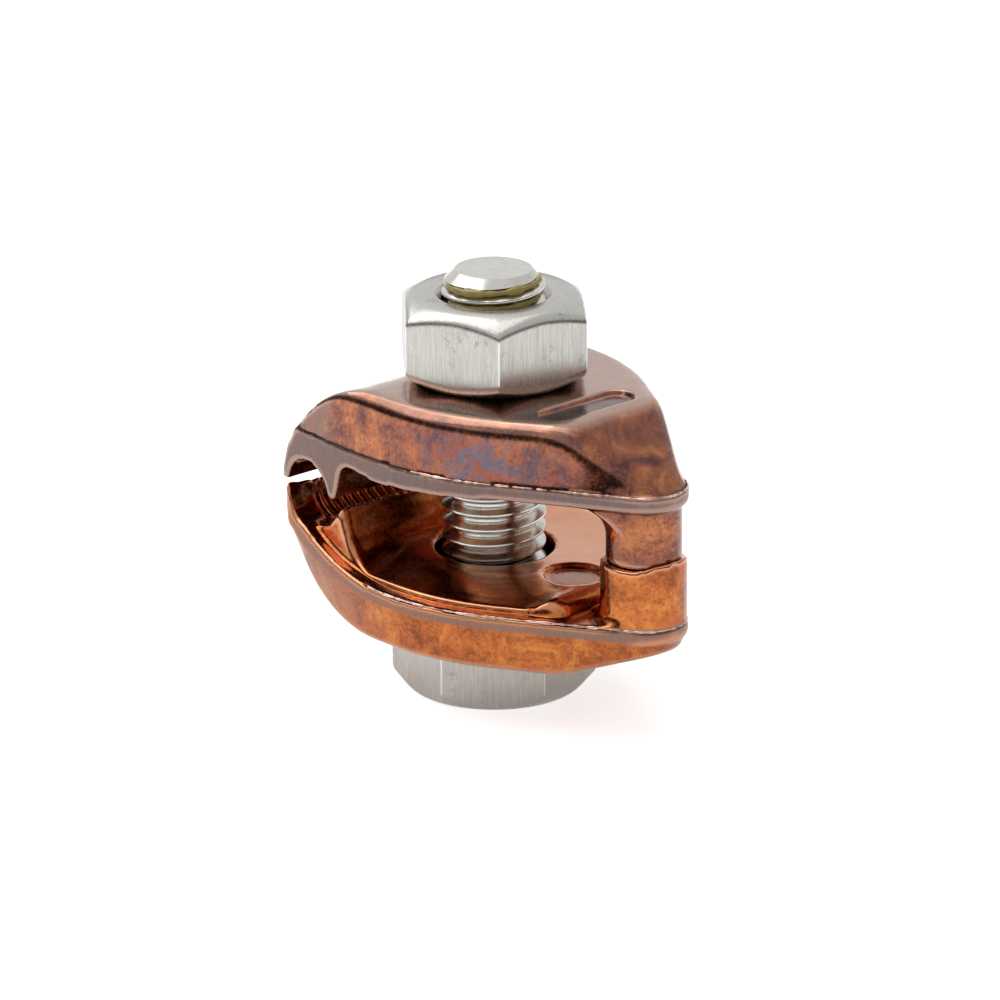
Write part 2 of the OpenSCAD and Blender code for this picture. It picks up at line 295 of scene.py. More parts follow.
def forged_copper(name, level, wall, glow, dusk, rust, film, sheared, crack):
    """Copper alloy with heat tint. The colours are what each kind of surface shows under white light."""
    material, tree = new_material(name)
    mm = in_mm(tree)
    mask = {kind: add(tree, "ShaderNodeAttribute", out="Fac", attribute_name=kind) for kind in
            ("level", "calm", "sheared", "dragged", "hot_film", "ridge", "hollow", "crack")}

    # Noise of three sizes, and the broad tints: warm gold and cold purple brown
    broad = add(tree, "ShaderNodeTexNoise", {
        "Vector": mm, "Scale": 1 / broad_mm, "Detail": 6.0, "Roughness": 0.65, "Distortion": 0.8})
    patch = add(tree, "ShaderNodeTexNoise", {
        "Vector": mm, "Scale": 1 / patch_mm, "Detail": 6.0, "Roughness": 0.7, "Distortion": 0.5})
    fine = add(tree, "ShaderNodeTexNoise", {
        "Vector": mm, "Scale": 1 / speck_mm, "Detail": 4.0, "Roughness": 0.7})
    warm = add(tree, "ShaderNodeMapRange", [broad, 0.47, 0.66, 0.0, 0.85], **smooth)
    cold = add(tree, "ShaderNodeMapRange", [broad, 0.5, 0.33, 0.0, 0.85], **smooth)

    # Stains, bright dots and dark pits: the noise of each, where it starts and is full, and its strength
    unruly = add(tree, "ShaderNodeMath", [1.0, mask["calm"]], operation="SUBTRACT")
    specks = []
    for noise_of, start, full, most in (
            (patch, 0.48, 0.66, 0.6), (fine, 0.52, 0.68, 0.5), (fine, 0.47, 0.34, 0.6)):
        share = add(tree, "ShaderNodeMapRange", [noise_of, start, full, 0.0, most], **smooth)
        specks.append(add(tree, "ShaderNodeMath", [share, unruly], operation="MULTIPLY"))
    stain, dots, pits = specks
    tint = colour(wall)
    for share, code in ((warm, glow), (cold, dusk), (stain, dusk), (dots, glow), (pits, dusk)):
        tint = add(tree, "ShaderNodeMix", {0: share, 6: tint, 7: colour(code)}, **rgba)

    # The hottest side has a thicker film: blue grey with rust between, and bright sparks
    cloud = add(tree, "ShaderNodeMapRange", [patch, 0.44, 0.54, 0.0, 1.0], **smooth)
    sparks = add(tree, "ShaderNodeMapRange", [fine, 0.6, 0.7, 0.0, 0.6])
    oxide = colour(rust)
    for share, code in ((cloud, film), (sparks, glow), (pits, dusk)):
        oxide = add(tree, "ShaderNodeMix", {0: share, 6: oxide, 7: colour(code)}, **rgba)
    tint = add(tree, "ShaderNodeMix", {0: mask["hot_film"], 6: tint, 7: oxide}, **rgba)

    # Level faces are cleaner, and a painted highlight makes them lighter and pinker
    clean = add(tree, "ShaderNodeMix", {0: stain, 6: colour(level), 7: colour(wall)}, **rgba)
    tint = add(tree, "ShaderNodeMix", {0: mask["level"], 6: tint, 7: clean}, **rgba)

    # Upright drag marks of the dies, about 0.15 mm apart, on the grey sheared band and on some walls
    drawn = add(tree, "ShaderNodeMapping", {"Vector": mm, "Scale": (drag_per_mm, drag_per_mm, drag_stretch)})
    drag = add(tree, "ShaderNodeTexNoise", {
        "Vector": drawn, "Scale": 1.0, "Detail": 3.0, "Roughness": 0.6})
    streak = add(tree, "ShaderNodeMapRange", [drag, 0.45, 0.7, 0.0, 0.3])
    worn = add(tree, "ShaderNodeMapRange", [drag, 0.35, 0.65, 0.35, 1.0])
    worn = add(tree, "ShaderNodeMath", [worn, mask["dragged"]], operation="MULTIPLY")
    tint = add(tree, "ShaderNodeMix", {0: worn, 6: tint, 7: colour(sheared)}, **rgba)
    tinge = add(tree, "ShaderNodeMapRange", [broad, 0.45, 0.7, 0.0, 0.4])
    grey = colour(sheared)
    for share, code in ((streak, dusk), (tinge, wall)):
        grey = add(tree, "ShaderNodeMix", {0: share, 6: grey, 7: colour(code)}, **rgba)
    tint = add(tree, "ShaderNodeMix", {0: mask["sheared"], 6: tint, 7: grey}, **rgba)

    # Edges get a painted highlight, hollows and recess floors get painted shade, and the flash crack is
    # nearly black
    for kind, code in (("ridge", level), ("hollow", dusk), ("crack", crack)):
        tint = add(tree, "ShaderNodeMix", {0: mask[kind], 6: tint, 7: colour(code)}, **rgba)

    # Gloss: smooth forging, duller shear and crack
    gloss = add(tree, "ShaderNodeMapRange", [fine, 0.3, 0.7, 0.08, 0.27])
    for kind, dull in (("sheared", 0.4), ("crack", 0.7)):
        gloss = add(tree, "ShaderNodeMix", {0: mask[kind], 2: gloss, 3: dull}, data_type="FLOAT")

    # Relief: pits of the forging scale and the drag marks
    marks = add(tree, "ShaderNodeMath", [mask["dragged"], mask["sheared"]], operation="MAXIMUM")
    marks = add(tree, "ShaderNodeMath", [marks, streak], operation="MULTIPLY")
    relief = add(tree, "ShaderNodeMath", [fine, 0.4, marks], operation="MULTIPLY_ADD")
    bump = add(tree, "ShaderNodeBump", {"Strength": 0.32, "Distance": scale_depth, "Height": relief})
    shader = add(tree, "ShaderNodeBsdfPrincipled", {
        "Base Color": tint, "Roughness": gloss, "Normal": bump,
        "Metallic": 1.0, "Coat Weight": 0.4, "Coat Roughness": 0.12})
    add(tree, "ShaderNodeOutputMaterial", {"Surface": shader})
    return material


# The level colour is a painted highlight on level faces and edges
upper_copper = forged_copper(
    "forged_copper_upper", level="#B9998B", wall="#8E543E", glow="#C2784A", dusk="#4E2C33",
    rust="#8E4E40", film="#645E6C", sheared="#7A6660", crack="#1A100D")
lower_copper = forged_copper(
    "forged_copper_lower", level="#DC9A72", wall="#BC6530", glow="#DC8A40", dusk="#7E3E20",
    rust="#9C5426", film="#6A4430", sheared="#8E7064", crack="#24150E")
print("materials:", upper_copper.name, lower_copper.name)

# %% [markdown]
# Stainless steel, cold headed and drawn. The flats carry fine upright draw marks and some dark grime, and
# the corners carry a painted highlight. The thread is rolled and smoother. Grease is a soft yellow oil
# paste that stays in the thread roots, so it is no metal and gets a thin wet coat.

# %% Stainless steel and grease
grime_mm = 2.2
clot_mm = 0.7
draw_stretch = 0.3
draw_depth = 0.04 * MM
rubbed_steel = "#F4F3F0"


def stainless(name, bright, dark, rough, streak_mm):
    """Stainless steel with upright draw marks that are streak_mm apart."""
    material, tree = new_material(name)
    mm = in_mm(tree)
    drawn = add(tree, "ShaderNodeMapping", {
        "Vector": mm, "Scale": (1 / streak_mm, 1 / streak_mm, draw_stretch)})
    streaks = add(tree, "ShaderNodeTexNoise", {
        "Vector": drawn, "Scale": 1.0, "Detail": 4.0, "Roughness": 0.65})
    grime = add(tree, "ShaderNodeTexNoise", {
        "Vector": mm, "Scale": 1 / grime_mm, "Detail": 8.0, "Roughness": 0.8})
    lines = add(tree, "ShaderNodeMapRange", [streaks, 0.4, 0.75, 0.0, 0.3])
    spots = add(tree, "ShaderNodeMapRange", [grime, 0.53, 0.7, 0.0, 0.7], **smooth)
    shade = add(tree, "ShaderNodeMath", [lines, spots], operation="MAXIMUM")
    rubbed = add(tree, "ShaderNodeAttribute", out="Fac", attribute_name="rubbed")
    tint = colour(bright)
    # Corners get a painted highlight, nearly white
    for share, code in ((shade, dark), (rubbed, rubbed_steel)):
        tint = add(tree, "ShaderNodeMix", {0: share, 6: tint, 7: colour(code)}, **rgba)
    gloss = add(tree, "ShaderNodeMapRange", [streaks, 0.3, 0.7, rough - 0.06, rough + 0.08])
    bump = add(tree, "ShaderNodeBump", {"Strength": 0.1, "Distance": draw_depth, "Height": streaks})
    shader = add(tree, "ShaderNodeBsdfPrincipled", {
        "Base Color": tint, "Roughness": gloss, "Normal": bump, "Metallic": 1.0})
    add(tree, "ShaderNodeOutputMaterial", {"Surface": shader})
    return material


drawn_steel = stainless("stainless_drawn", bright="#C6C4BE", dark="#7C7972", rough=0.28, streak_mm=0.2)
rolled_steel = stainless(
    "stainless_rolled_thread", bright="#DAD8D2", dark="#A39F94", rough=0.2, streak_mm=0.8)

grease, paste = new_material("thread_grease")
clots = add(paste, "ShaderNodeTexNoise", {"Vector": in_mm(paste), "Scale": 1 / clot_mm, "Detail": 3.0})
paste_tint = add(paste, "ShaderNodeMix", {0: clots, 6: colour("#6E6216"), 7: colour("#B39A3C")}, **rgba)
paste_shader = add(paste, "ShaderNodeBsdfPrincipled", {
    "Base Color": paste_tint, "Roughness": 0.25, "Coat Weight": 0.6, "Coat Roughness": 0.1})
add(paste, "ShaderNodeOutputMaterial", {"Surface": paste_shader})
print("materials:", drawn_steel.name, rolled_steel.name, grease.name)

# %% [markdown]
# The forged skins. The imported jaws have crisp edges, as drawn. A forging has soft ones, so each jaw's mesh
# is copied, merged, rebuilt on a fine voxel grid and relaxed, which rounds every edge by a few tenths of a
# millimetre. A fillet modifier can't follow such mixed faces. The sheared bands and ribs are relaxed less.

# %% Skin tools
voxel = 0.19 * MM
same_place = 1e-7
relax_step = 0.5
tiny = 1e-6


def rebuilt(node):
    """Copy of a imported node's mesh, merged and rebuilt as an even skin."""
    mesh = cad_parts[node].data.copy()
    merged = bmesh.new()
    merged.from_mesh(mesh)
    bmesh.ops.remove_doubles(merged, verts=merged.verts, dist=same_place)
    merged.to_mesh(mesh)
    merged.free()
    mesh.materials.clear()
    made = new_object(node + "_forging", mesh)
    skin = made.modifiers.new("skin", "REMESH")
    skin.mode = "VOXEL"
    skin.voxel_size = voxel
    keep_result(made, skin)
    return made


def array_of(items, field, width, kind=np.float32):
    """Reads one field of a mesh's items as rows of numbers."""
    values = np.zeros(len(items) * width, kind)
    items.foreach_get(field, values)
    return values.reshape(-1, width).astype(float if kind is np.float32 else int)


def neighbour_mean(co, edges):
    """Mean place of each point's neighbours."""
    a, b = edges.T
    count = np.bincount(edges.ravel(), minlength=len(co))
    total = [np.bincount(a, co[b, k], len(co)) + np.bincount(b, co[a, k], len(co)) for k in range(3)]
    return np.stack(total, 1) / np.maximum(count, 1)[:, None]


def relax(co, edges, rounds, share):
    """Draws each point towards its neighbours, by its own share."""
    for _ in range(rounds):
        co = co + relax_step * share[:, None] * (neighbour_mean(co, edges) - co)
    return co


def step(value, low, high):
    """Smooth step from 0 at low to 1 at high."""
    t = np.clip((value - low) / (high - low), 0, 1)
    return t * t * (3 - 2 * t)


def inset(co, ring, every=4):
    """Distance in plan from each point to a jaw's outline, through every few of its points, and the way."""
    best = np.full(len(co), np.inf)
    way = np.zeros((len(co), 2))
    for a, b in zip(ring[::every], np.roll(ring[::every], -1, axis=0)):
        run = b - a
        t = np.clip(((co[:, :2] - a) @ run) / (run @ run), 0, 1)
        gap = a + t[:, None] * run - co[:, :2]
        square = np.einsum("ij,ij->i", gap, gap)
        nearer = square < best
        best[nearer] = square[nearer]
        way[nearer] = gap[nearer]
    far = np.sqrt(best)
    return far, way / np.maximum(far, tiny)[:, None]


def wander(co, size_mm, seed=0.0):
    """Smooth noise from -1 to 1 with features of the given size."""
    return np.array([noise.noise(Vector(p) / size_mm + Vector((seed, 0, 0))) for p in co])


def set_mask(mesh, name, values):
    """Stores a mask on the mesh's points."""
    layer = mesh.attributes.new(name, "FLOAT", "POINT")
    layer.data.foreach_set("value", np.clip(values, 0, 1).astype(np.float32))


print("skin grid:", round(voxel / MM, 2), "mm")

# %% [markdown]
# The lower jaw's pad and lip. On the real forging the pad has a tight edge and leans across the wire, and
# the outer lip keeps its height to both ends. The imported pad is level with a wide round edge, so the skin's
# points are drawn out to the tight edge and then leaned, before they are relaxed.

# %% Pad and lip of the lower jaw
pad_square = 7.0
pad_end_x = 13.0
tight_from = (-7.5, -4.5)
hair = 0.01
ledge_slack = 0.05
lean_down = 1.3
lean_up = 0.8
lean_from = 8.0
lean_blend = 3
lean_start = (-8.0, -4.0)
lean_end = (12.5, 14.5)
lip_foot_z = 15.5
lip_blend = 0.8


def pad_z(x):
    """Height of the lower jaw's pad, which rises to the groove's inner lip."""
    run = np.clip(pad_rise_x - x, 0, pad_rise_r)
    return np.minimum(inner_lip_z, floor_z + pad_rise_r - np.sqrt(pad_rise_r ** 2 - run * run))


def tight_edge(co, far, way):
    """Draws the pad's wide round edge out to a nearly square one."""
    x, _, z = co.T
    out = np.clip(ledge_w + pad_edge_r - far, 0, None)
    rise = np.clip(z - pad_z(x) + pad_edge_r, 0, None)
    here = (out > hair) & (rise > hair) & (far > ledge_w - ledge_slack)
    here = here & (x > pad_rise_x - pad_rise_r) & (x < pad_end_x)
    sides = np.maximum((out ** pad_square + rise ** pad_square) ** (1 / pad_square), tiny)
    grown = np.where(here, np.hypot(out, rise) / sides - 1, 0.0) * step(x, *tight_from)
    return co + np.column_stack([way * (out * grown)[:, None], rise * grown])


def leaned(co, far):
    """Leans the pad down towards -Y and up towards +Y, most at its edge."""
    x, y, z = co.T
    ledge = lower_ledge(x)
    share = np.clip((z - ledge) / (pad_z(x) - ledge), 0, 1) * (far > ledge_w - 2 * ledge_slack)
    slope = np.clip((lean_from - far) / (lean_from - ledge_w), 0, 1) ** 2
    along = step(x, *lean_start) * (1 - step(x, *lean_end))
    lean = lean_up * step(y, 0, lean_blend) - lean_down * step(-y, 0, lean_blend)
    return np.column_stack([x, y, z + lean * slope * share * along])


def full_lip(co):
    """Keeps the outer lip at its full height out to both ends, where the pad's edge rounds it off."""
    x, y, z = co.T
    from_side = half_w - side_bow - np.abs(y)
    rounding = np.clip(ledge_w + pad_edge_r - from_side, 0, pad_edge_r)
    pad_top = lower_lip_z - pad_edge_r + np.sqrt(pad_edge_r ** 2 - rounding ** 2)
    top = np.maximum(pad_top, lower_ledge(x))
    share = np.clip((z - lip_foot_z) / (top - lip_foot_z), 0, 1)
    outer = 1 - step(x - groove_x + groove_r, 0, lip_blend)
    return np.column_stack([x, y, z + outer * share * (lower_lip_z - top)])


def worn_pad(co):
    """Shape of the lower jaw's pad and outer lip."""
    far, way = inset(co, outlines["lower_jaw"])
    return full_lip(leaned(tight_edge(co, far, way), far))


print("pad leans by", lean_down + lean_up, "mm")

# %% [markdown]
# One forging: the skin of a jaw with its masks. A mask is a number at each point, worked out from its place
# and slope, and the material reads it by name. Painting by hand could not be repeated. The flash crack is
# also pressed into the surface, and the skin wanders a little, as forgings do.

# %% Forging
soft_rounds = 12
crisp_rounds = 3
bend_rounds = 4
near_face = (0.18, 0.4)
upright_from = (0.35, 0.7)
wall_reach = (0.9, 1.5)
band_blur = 0.1
rag_mm = 1.1
fine_rag_mm = 0.4
rag_height = 0.05
break_mm = 3.5
break_from = (-0.15, 0.1)
crack_height = 0.11
crack_reach = (0.3, 0.7)
crack_from = (-11.5, -10)
crack_depth = 0.1
swell = 0.03
swell_mm = 6.0
ripple = 0.012
ripple_mm = 1.6


def forging(node, material, shaped, band_low, band_high, flash, crisp, heat, dragged, soiled):
    """Forged skin of a jaw, with its masks. The shape, heights and kinds of places are functions."""
    piece = rebuilt(node)
    mesh = piece.data
    co = shaped(array_of(mesh.vertices, "co", 3) / MM)
    edges = array_of(mesh.edges, "vertices", 2, np.int32)
    everywhere = np.ones(len(co))
    keep = crisp(co)
    co = relax(co, edges, crisp_rounds, everywhere)
    co = relax(co, edges, soft_rounds, 1 - keep)
    mesh.vertices.foreach_set("co", (co * MM).astype(np.float32).ravel())
    mesh.update()
    normal = array_of(mesh.vertex_normals, "vector", 3)

    # Where each point lies: near the outline, in the sheared band, on the flash line, on an edge
    x, _, z = co.T
    upward = normal[:, 2]
    far = inset(co, outlines[node])[0]
    upright = 1 - step(np.abs(upward), *upright_from)
    low = band_low(co)
    high = band_high(co)
    in_band = step(z - low, -band_blur, band_blur) * (1 - step(z - high, -band_blur, band_blur))
    ragged = wander(co, rag_mm) + 0.5 * wander(co, fine_rag_mm, seed=7.0)
    broken = step(wander(co, break_mm, seed=3.0), *break_from)
    line = np.exp(-((z - flash(co) - rag_height * ragged) / crack_height) ** 2)
    crack = line * broken * (1 - step(far, *crack_reach)) * step(x, *crack_from)
    bend = np.einsum("ij,ij->i", co - neighbour_mean(co, edges), normal)
    bend = relax(np.stack([bend] * 3, 1), edges, bend_rounds, everywhere)[:, 0]

    # Masks for the material: a strength times the range over which each sets in
    masks = {
        # Level faces: a painted highlight, lighter and pinker
        "level": 0.9 * step(upward, 0.86, 0.98),
        "calm": 0.75 * step(upward, 0.7, 0.8),
        "hot_film": heat(co) * (1 - step(upward, 0.75, 0.9)),
        "dragged": dragged(co) * (1 - step(far, *wall_reach)) * upright * (1 - in_band),
        "sheared": (1 - step(far, *near_face)) * upright * in_band,
        "crack": crack,
        # Convex edges: a painted highlight in the level colour
        "ridge": 0.75 * step(bend, 0.0025, 0.0065),
        # Hollows and recess floors: painted shade in the dusk colour
        "hollow": 0.8 * np.maximum(step(-bend, 0.004, 0.018), soiled(co))}
    for kind, values in masks.items():
        set_mask(mesh, kind, values)

    # The forging wanders a little from its drawing, and the crack is open
    drift = swell * wander(co, swell_mm, seed=11.0) + ripple * wander(co, ripple_mm, seed=5.0)
    co = co + normal * (drift - crack_depth * crack)[:, None]
    mesh.vertices.foreach_set("co", (co * MM).astype(np.float32).ravel())
    mesh.shade_smooth()
    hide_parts(node)
    finish_piece(piece, node, material)


# %% [markdown]
# The two jaws differ in where they stay crisp, where they are hot or dragged, where their recess floors
# get painted shade, and how high the sheared band is. Each of these is a small function of place, with a
# soft border.

# %% The two jaws
recess_rim = 0.4
recess_blend = 0.4
recess_zone = (-1.2, -0.9)
soil_margin = -0.6
soil_depth = (0.2, 0.35)
edge_zone = (0.8, 1.2)
band_zone = (0.3, 0.7)
groove_zone = (0.6, 1.0)
groove_half = 0.5
half_band = 0.6
tip_above = 0.9
tip_blend = 0.3
rim_x = (-5, -4.4)
rim_z = (16.5, 17)
pad_corner = 0.5
corner_blend = 0.2
tooth_reach = 6
hot_place = (9.0, 26.8)
hot_reach = (5.5, 2.3)
hot_side = (4, 6)


def in_recess(co, recess, margin):
    """Share of a recess, widened by a margin."""
    x, y, _ = co.T
    middle_x, radius, reach = recess
    gap = np.hypot(x - middle_x, y - np.clip(y, -reach, reach)) - radius
    return 1 - step(gap, margin, margin + recess_blend)


def upper_crisp(co):
    """Places of the upper jaw that stay crisp: the sheared band, the tooth, the lip and the recess."""
    z = co[:, 2]
    band = 1 - step(np.abs(z - upper_flash_z), *band_zone)
    recess = in_recess(co, long_recess, recess_rim) * step(z - top_z, *recess_zone)
    tips = step(under_z + tip_above - z, 0, tip_blend)
    return 0.85 * np.maximum.reduce([band, tips, recess])


def lower_crisp(co):
    """Places of the lower jaw that stay crisp: the band, ribs, recess, heel rim and pad's edge."""
    x, _, z = co.T
    band = 1 - step(np.abs(z - lower_flash(x) - half_band), *edge_zone)
    groove = 1 - step(np.hypot(x - groove_x, z - groove_z) - groove_r, *groove_zone)
    groove = groove * step(x - groove_x, -groove_half, groove_half)
    recess = in_recess(co, round_recess, recess_rim) * step(z - floor_z, *recess_zone)
    rim = step(x - heel_x, *rim_x) * step(z, *rim_z)
    far = inset(co, outlines["lower_jaw"])[0]
    corner = (1 - step(np.abs(far - ledge_w - pad_corner), *edge_zone)) * step(x, *tight_from)
    corner = corner * step(z - lower_ledge(x), 0, corner_blend)
    return 0.8 * np.maximum.reduce([0.7 * band, groove, rim, recess, 0.9 * corner])


def hot_sides(co):
    """Both shoulders of the upper jaw, between the flash line and the top, beside the bolt."""
    x, y, z = co.T
    along = np.exp(-((x - hot_place[0]) / hot_reach[0]) ** 2)
    upward = np.exp(-((z - hot_place[1]) / hot_reach[1]) ** 2)
    return along * upward * step(np.abs(y), *hot_side)


# The recess floors of both jaws are given painted shade
forging(
    "upper_jaw", upper_copper, shaped=lambda co: co, crisp=upper_crisp, heat=hot_sides,
    band_low=lambda co: under_z - tooth_reach, band_high=lambda co: upper_flash_z,
    flash=lambda co: upper_flash_z + 0.1, dragged=lambda co: step(-co[:, 0], 7, 10),
    soiled=lambda co: in_recess(co, long_recess, soil_margin) * step(top_z - co[:, 2], *soil_depth))
forging(
    "lower_jaw", lower_copper, shaped=worn_pad, crisp=lower_crisp, heat=lambda co: 0.0,
    band_low=lambda co: lower_flash(co[:, 0]), band_high=lambda co: lower_ledge(co[:, 0]) + 0.2,
    flash=lambda co: lower_ledge(co[:, 0]) - 0.05, dragged=lambda co: 0.7 * step(-co[:, 0], 0, 9),
    soiled=lambda co: in_recess(co, round_recess, soil_margin) * step(floor_z - co[:, 2], *soil_depth))

# %% [markdown]
# Trimming burrs and gripping ribs. A burr is a ragged bead along the flash line, so one node tree sweeps a
# small section along a path, with a thickness that wanders. The ribs are one bent bar, repeated.

# %% Burrs and ribs
bead_sides = 8
lump_range = (0.38, 0.62)
rib_sides = 10
rib_steps = 24


def bead_tree():
    """Tree that sweeps a round bead of wandering thickness along a path."""
    tree, size = new_tree("bead_by_rule", {
        "Path": "Geometry", "Thickness": "Float", "Least": "Float", "Lump": "Float",
        "Seed": "Float", "Material": "Material"})
    path = add(tree, "GeometryNodeMeshToCurve", {"Mesh": size["Path"]})
    spot = add(tree, "GeometryNodeInputPosition")
    place = add(tree, "ShaderNodeVectorMath", {0: spot, "Scale": 1 / MM}, operation="SCALE")
    lumps = add(tree, "ShaderNodeTexNoise", {
        "Vector": place, "W": size["Seed"], "Scale": size["Lump"], "Detail": 2.0}, noise_dimensions="4D")
    share = add(tree, "ShaderNodeMapRange", [lumps, *lump_range, size["Least"], 1.0])
    thick = add(tree, "ShaderNodeMath", [share, size["Thickness"]], operation="MULTIPLY")
    section = add(tree, "GeometryNodeCurvePrimitiveCircle", {"Resolution": bead_sides, "Radius": 1.0})
    made = add(tree, "GeometryNodeCurveToMesh",
               {"Curve": path, "Profile Curve": section, "Scale": thick, "Fill Caps": True})
    return close_tree(tree, made, size["Material"])


def rib_tree():
    """Tree that bends a bar round the groove's axis and repeats it along the wire."""
    tree, size = new_tree("ribs_by_rule", {
        "Count": "Int", "First": "Vector", "Pitch": "Vector", "Radius": "Float",
        "Bar": "Float", "From": "Float", "Sweep": "Float", "Material": "Material"})
    bend = add(tree, "GeometryNodeCurveArc", {
        "Resolution": rib_steps, "Radius": size["Radius"],
        "Start Angle": size["From"], "Sweep Angle": size["Sweep"]})
    section = add(tree, "GeometryNodeCurvePrimitiveCircle", {"Resolution": rib_sides, "Radius": size["Bar"]})
    bar = add(tree, "GeometryNodeCurveToMesh", {"Curve": bend, "Profile Curve": section, "Fill Caps": True})
    bar = add(tree, "GeometryNodeTransform", {"Geometry": bar, "Rotation": (math.pi / 2, 0, 0)})
    spots = add(tree, "GeometryNodeMeshLine",
                {"Count": size["Count"], "Start Location": size["First"], "Offset": size["Pitch"]})
    made = add(tree, "GeometryNodeInstanceOnPoints", {"Points": spots, "Instance": bar})
    return close_tree(tree, made, size["Material"])


def path_mesh(name, points):
    """Open line of points, in millimetres, as a mesh."""
    mesh = bpy.data.meshes.new(name)
    links = [(i, i + 1) for i in range(len(points) - 1)]
    mesh.from_pydata([[c * MM for c in p] for p in points], links, [])
    return mesh


def flash_path(node, start_x, draw_in, height):
    """Path along a jaw's flash line, from one side of the groove end round the heel to the other."""
    ring = outlines[node]
    run = np.roll(ring, -1, axis=0) - np.roll(ring, 1, axis=0)
    inward = np.stack([-run[:, 1], run[:, 0]], 1) / np.linalg.norm(run, axis=1)[:, None]
    line = ring + draw_in * inward
    keep = ring[:, 0] > start_x
    return [(x, y, float(height(x))) for x, y in line[keep]]


beads = bead_tree()
# The burr is bright sheared copper, and its pale colours are partly a painted highlight for its glints
burr_copper = forged_copper(
    "sheared_copper_burr", level="#E4C4B4", wall="#DDBBAA", glow="#F2E0D6", dusk="#9A6A56",
    rust="#B07858", film="#8C7C78", sheared="#A08A80", crack="#4A2E24")


def burr(node, start_x, draw_in, height, thickness, least, lump, seed):
    """Ragged burr along a jaw's flash line, as a piece of that jaw."""
    path = path_mesh(node + "_flash_path", flash_path(node, start_x, draw_in, height))
    piece = grow(node + "_flash_burr", beads, {
        "Thickness": thickness * MM, "Least": least, "Lump": lump, "Seed": seed,
        "Material": burr_copper}, path)
    piece.data.shade_smooth()
    finish_piece(piece, node)


burr("upper_jaw", start_x=3.0, draw_in=0.12, height=lambda x: upper_flash_z + 0.06,
     thickness=0.16, least=0.1, lump=1.8, seed=2.0)
burr("lower_jaw", start_x=-3.0, draw_in=0.14, height=lambda x: lower_ledge(x) + 0.02,
     thickness=0.2, least=0.2, lump=1.3, seed=5.0)

rib_pitch = 1.0
rib_count = 19
rib_bar = 0.27
rib_proud = 0.02
rib_from = math.radians(-163)
rib_sweep = math.radians(149)
ribs = grow("lower_jaw_ribs", rib_tree(), {
    "Count": rib_count, "First": (groove_x * MM, -(rib_count - 1) / 2 * rib_pitch * MM, groove_z * MM),
    "Pitch": (0, rib_pitch * MM, 0), "Radius": (groove_r + rib_bar - rib_proud) * MM,
    "Bar": rib_bar * MM, "From": rib_from, "Sweep": rib_sweep, "Material": lower_copper})
ribs.data.shade_smooth()
finish_piece(ribs, "lower_jaw")

# %% [markdown]
# The screw thread. A thread follows a rule, so a node tree makes it: a grid is rolled round the axis and
# sheared by one pitch per turn, so that each of its rows runs along the helix and the crests stay crisp.
# Its ends run out to plain circles. The same tree makes the bolt's thread and the nut's.

# %% Thread tree
rows_per_turn = 16
crest_half = 0.07
root_from = 0.38
weld = 0.004 * MM


